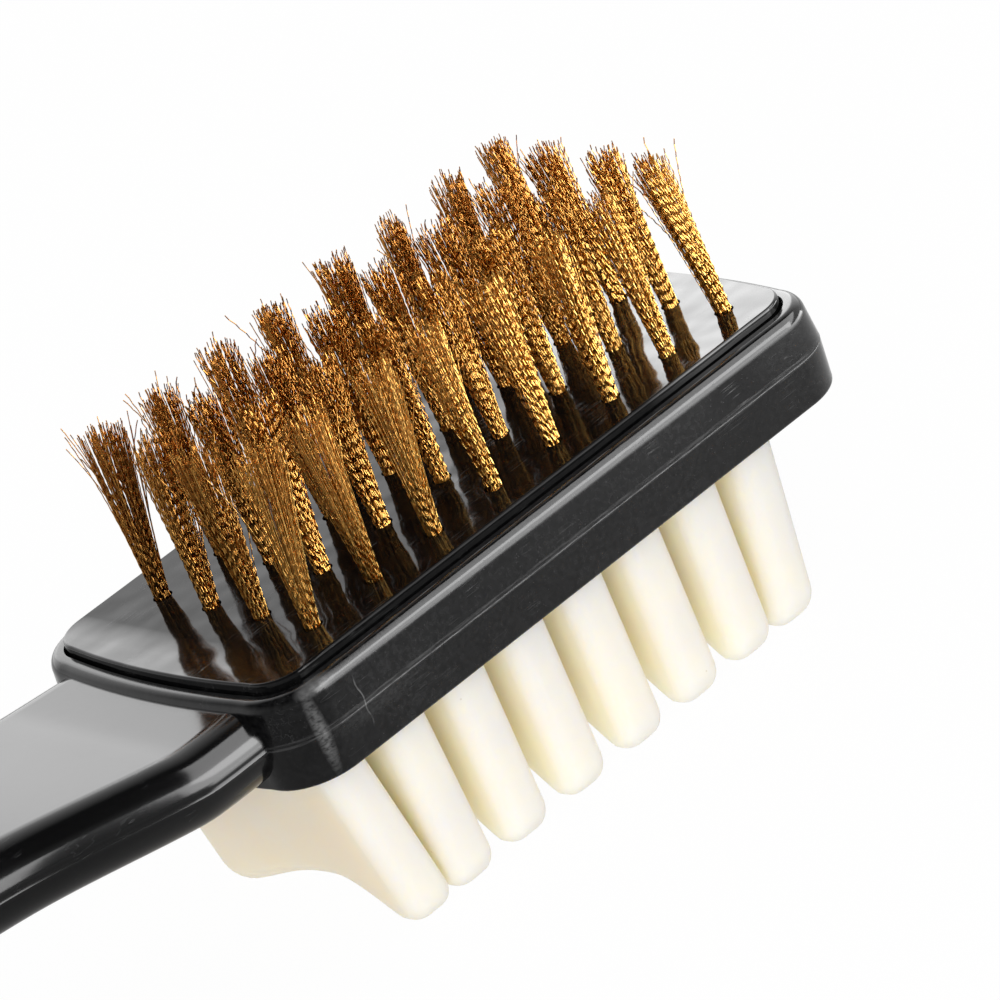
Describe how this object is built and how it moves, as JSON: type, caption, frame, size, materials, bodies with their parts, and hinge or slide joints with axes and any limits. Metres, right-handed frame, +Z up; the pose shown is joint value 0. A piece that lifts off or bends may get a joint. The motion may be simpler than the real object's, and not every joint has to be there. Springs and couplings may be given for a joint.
{
  "type": "shoe brush",
  "caption": "Two-sided shoe brush: a flat plastic handle with a rectangular head that carries brass wire tufts on top and a ribbed rubber block underneath",
  "frame": {"origin": "centre of the overall box's bottom face, on the plane that the rubber tips stand on", "axes": "X runs from the handle's end (-X) to the head's tip (+X), Y runs across the head, Z points up to the brass side"},
  "size_m": [0.162, 0.0402, 0.047],
  "materials": {
    "handle": "glossy black moulding with light scuffs",
    "plate": "glossy black",
    "rubber": "smooth cream rubber",
    "brass": "crimped wire",
    "steel": "drawn wire"
  },
  "bodies": {
    "root": {"handle_body": "handle", "brush_plate": "plate", "rubber_block": "rubber", "brass_tuft_r1_c1": "brass", "brass_tuft_r1_c2": "brass", "brass_tuft_r1_c3": "brass", "brass_tuft_r1_c4": "brass", "brass_tuft_r1_c5": "brass", "brass_tuft_r1_c6": "brass", "brass_tuft_r1_c7": "brass", "brass_tuft_r1_c8": "brass", "brass_tuft_r2_c1": "brass", "brass_tuft_r2_c2": "brass", "brass_tuft_r2_c3": "brass", "brass_tuft_r2_c4": "brass", "brass_tuft_r2_c5": "brass", "brass_tuft_r2_c6": "brass", "brass_tuft_r2_c7": "brass", "brass_tuft_r2_c8": "brass", "brass_tuft_r3_c1": "brass", "brass_tuft_r3_c2": "brass", "brass_tuft_r3_c3": "brass", "brass_tuft_r3_c4": "brass", "brass_tuft_r3_c5": "brass", "brass_tuft_r3_c6": "brass", "brass_tuft_r3_c7": "brass", "brass_tuft_r3_c8": "brass", "brass_tuft_r4_c1": "brass", "brass_tuft_r4_c2": "brass", "brass_tuft_r4_c3": "brass", "brass_tuft_r4_c4": "brass", "brass_tuft_r4_c5": "brass", "brass_tuft_r4_c6": "brass", "brass_tuft_r4_c7": "brass", "brass_tuft_r4_c8": "brass", "drawn_wire_row_1": "steel", "drawn_wire_row_2": "steel", "drawn_wire_row_3": "steel", "drawn_wire_row_4": "steel"}
  },
  "joints": []
}
